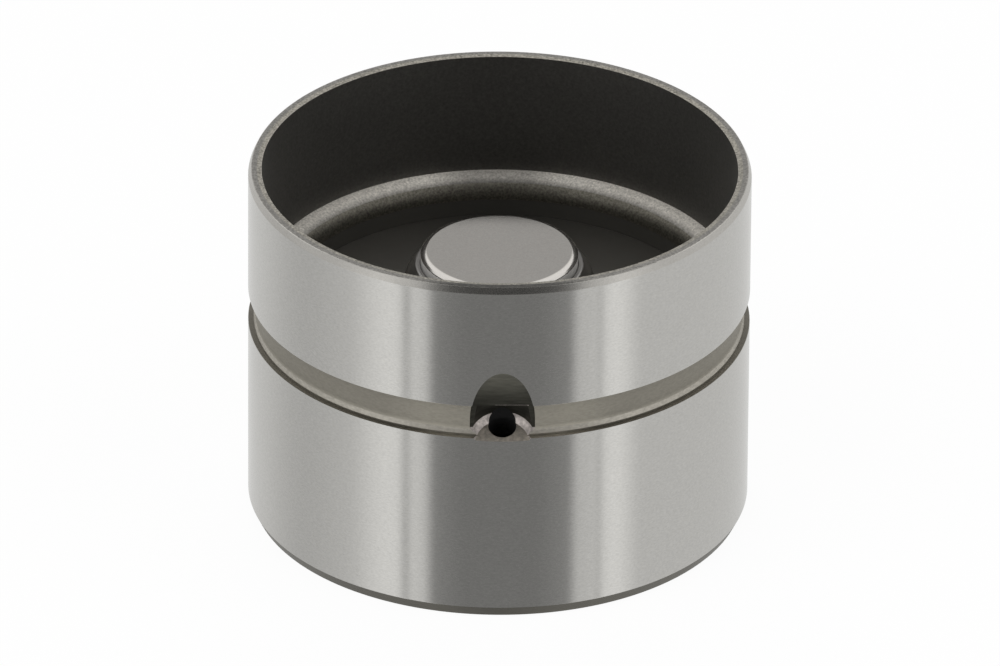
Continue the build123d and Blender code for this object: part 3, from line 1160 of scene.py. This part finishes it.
@dataclass
class Tent:
    """A big soft tent that only the steel mirrors: pale all round, with a dark gap at the camera.

    Angles are in degrees, measured round the axis from the camera's side, with right positive.
    A band is lighter or darker than the rest: it has a middle angle, a half width and a gain.
    """

    radius: float = 0.9
    level: float = 0.76
    gap: tuple[float, float] = (-32.2, 33.6)
    gap_edge: float = 3.2
    gap_low: float = 0.26
    gap_rise: float = 0.08
    gap_sides: tuple[float, float] = (14.0, 34.0)
    gap_high: float = 0.08
    bands: tuple[tuple[float, float, float], ...] = (
        (-51.0, 24.0, 0.27),
        (54.0, 15.0, 0.30),
        (-100.0, 40.0, -0.13),
        (-43.6, 4.0, -0.35),
        (46.0, 3.0, -0.20),
    )
    horizon: tuple[float, float] = (2.0, 14.0)
    front_sky: tuple[float, float] = (45.0, 75.0)
    overhead: float = 0.70
    back_level: float = 0.55
    back_start: tuple[float, float] = (70.0, 100.0)
    boxes: tuple[float, float] = (86.0, 165.0)
    box_heights: tuple[float, float] = (12.0, 72.0)
    box_edge: float = 10.0
    box_level: float = 1.25
    colour: Colour = (1.0, 1.0, 0.985)
    segments: int = 96

    def build(self) -> bpy.types.Object:
        """Make the tent and hide it from all but mirrored rays.

        Returns:
            The tent, which isn't part of the tappet.
        """
        bm = bmesh.new()
        bmesh.ops.create_uvsphere(bm, u_segments=self.segments, v_segments=self.segments // 2, radius=self.radius)
        bmesh.ops.reverse_faces(bm, faces=bm.faces[:])
        mesh = lasting_mesh("light_tent", bm)
        mesh.shade_smooth()
        mesh.materials.append(self.material())
        tent = put_in_scene("light_tent", mesh)
        for kind in ("camera", "diffuse", "transmission", "volume_scatter", "shadow"):
            setattr(tent, f"visible_{kind}", False)
        return tent

    def material(self) -> bpy.types.Material:
        """Make light that varies round the tent and brightens overhead.

        Returns:
            The glowing material.
        """
        material, bench = start_material("light_tent")
        material.cycles.emission_sampling = "NONE"
        right, back, up = bench.axes(bench.place())
        around = right.apply("ARCTAN2", back * -1.0) * DEGREES
        height = (up / self.radius).apply("ARCSINE") * DEGREES
        above = height.step(*self.horizon)
        ring = self.level
        for angle, half, gain in self.bands:
            ring = ring + (1.0 - around.distance_from(angle).step(0.0, half)) * gain
        gap = self.window(around, *self.gap, self.gap_edge)
        low = self.gap_low + around.apply("ABSOLUTE").step(*self.gap_sides) * self.gap_rise
        front = low + above * (self.gap_high - low)
        front = front + height.step(*self.front_sky) * (self.overhead - self.gap_high)
        box = self.window(around.apply("ABSOLUTE"), *self.boxes, self.box_edge)
        box = box * self.window(height, *self.box_heights, self.box_edge)
        sky = self.back_level + height.step(*self.front_sky) * (self.overhead - self.back_level)
        sky = sky + box * (self.box_level - sky)
        behind = around.apply("ABSOLUTE").step(*self.back_start)
        upper = ring + behind * (sky - ring)
        rest = ring + above * (upper - ring)
        light = rest + gap * (front - rest)
        white = bench.tint(self.colour, light)
        glow = bench.node("ShaderNodeEmission", {}, {"Color": white, "Strength": 1.0})
        bench.add("ShaderNodeOutputMaterial", {}, {"Surface": glow})
        return material

    @staticmethod
    def window(value: Value, low: float, high: float, edge: float) -> Value:
        """1 between two limits and 0 beyond them, with soft edges."""
        return value.step(low - edge, low + edge) * (1.0 - value.step(high - edge, high + edge))


@dataclass
class Studio:
    """The pale floor, the soft lamps and the white surroundings.

    The floor's width is in metres. A lamp has a place and a size in metres and a power in watts.
    """

    floor_size: float = 6.0
    floor_drop: float = 0.02
    floor_colour: Colour = (0.86, 0.86, 0.86)
    floor_glow: float = 0.95
    white: Colour = (1.0, 1.0, 1.0)
    ambient: float = 0.45
    lamps: dict[str, tuple[tuple[float, float, float], float, float]] = field(
        default_factory=lambda: {
            "key_lamp": ((-0.45, -0.35, 0.75), 0.6, 3.6),
            "fill_lamp": ((0.55, -0.25, 0.60), 0.6, 2.0),
            "back_lamp": ((0.0, 0.60, 0.70), 0.5, 1.6),
        }
    )

    def build(self) -> None:
        """Set up the whole studio."""
        self.floor()
        for name, (place, size, power) in self.lamps.items():
            self.lamp(name, Vector(place), size, power)
        self.surroundings()
        Tent().build()

    def floor(self) -> None:
        """A wide floor that stays white, keeps a soft shadow and is clear from beneath."""
        bm = bmesh.new()
        down = Matrix.Translation((0, 0, -self.floor_drop * MM))
        bmesh.ops.create_grid(bm, x_segments=1, y_segments=1, size=self.floor_size / 2, matrix=down)
        mesh = lasting_mesh("floor", bm)
        floor = put_in_scene("floor", mesh)
        floor.visible_glossy = False
        material, bench = start_material("floor")
        seen = self.seen_ray(bench)
        matt = bench.node("ShaderNodeBsdfDiffuse", {}, {"Color": self.floor_colour})
        glow = bench.node("ShaderNodeEmission", {}, {"Color": self.white, "Strength": 1.0})
        both = bench.node("ShaderNodeMixShader", {}, [seen * self.floor_glow, matt, glow])
        beneath = bench.node("ShaderNodeNewGeometry", output="Backfacing")
        clear = bench.node("ShaderNodeBsdfTransparent")
        both = bench.node("ShaderNodeMixShader", {}, [beneath, both, clear])
        bench.add("ShaderNodeOutputMaterial", {}, {"Surface": both})
        mesh.materials.append(material)

    @staticmethod
    def seen_ray(bench: NodeBench) -> Value:
        """Tell the rays that should find white from those that only light the tappet.

        Args:
            bench: The tree to add nodes to.

        Returns:
            1 for a ray from the camera, or one mirrored by steel or let through, else 0.
        """
        rays = bench.add("ShaderNodeLightPath").outputs
        camera, glossy, through = (
            Value(bench, rays[name]) for name in ("Is Camera Ray", "Is Glossy Ray", "Is Transmission Ray")
        )
        return camera.apply("MAXIMUM", glossy).apply("MAXIMUM", through)

    @staticmethod
    def lamp(name: str, place: Vector, size: float, power: float) -> None:
        """Hang a soft square lamp aimed at the tappet, which its steel doesn't mirror.

        Args:
            name: The lamp's name.
            place: Where it hangs.
            size: Its width.
            power: Its power.
        """
        data = bpy.data.lights.new(name, "AREA")
        data.shape = "SQUARE"
        data.size = size
        data.energy = power
        lamp = put_in_scene(name, data)
        lamp.location = place
        lamp.rotation_euler = (-place).to_track_quat("-Z", "Y").to_euler()
        lamp.visible_glossy = False

    def surroundings(self) -> None:
        """White beyond the floor, and dimmer as a light."""
        world = bpy.data.worlds.new("surroundings")
        bpy.context.scene.world = world
        world.use_nodes = True
        bench = NodeBench(world.node_tree)
        seen = self.seen_ray(bench)
        strength = self.ambient + seen * (1 - self.ambient)
        glow = bench.node("ShaderNodeBackground", {}, {"Color": self.white, "Strength": strength})
        bench.add("ShaderNodeOutputWorld", {}, {"Surface": glow})


def main() -> None:
    """Build every piece, then the studio round them."""
    logging.basicConfig(level=logging.INFO, format="%(name)s: %(message)s")
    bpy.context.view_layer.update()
    bpy.context.scene.view_settings.view_transform = "Standard"
    Viewpoint().build()
    for finish in Finish:
        MATERIALS[finish] = finish.value.make()
    Bucket().build()
    GuideWeb().build()
    ElementCylinder().build()
    Coil(
        name="return_spring_wire", node="return_spring", joint="lash_travel",
        wire=0.55, mean_diameter=6.3, turns=4.5, travel=2.5, fixed_at_top=False,
    ).build()
    Coil(
        name="ball_spring_wire", node="ball_spring", joint="check_ball_lift",
        wire=0.16, mean_diameter=1.5, turns=3.0, travel=0.2, fixed_at_top=True,
    ).build()
    InnerParts().dress()
    Studio().build()


if __name__ == "__main__":
    main()
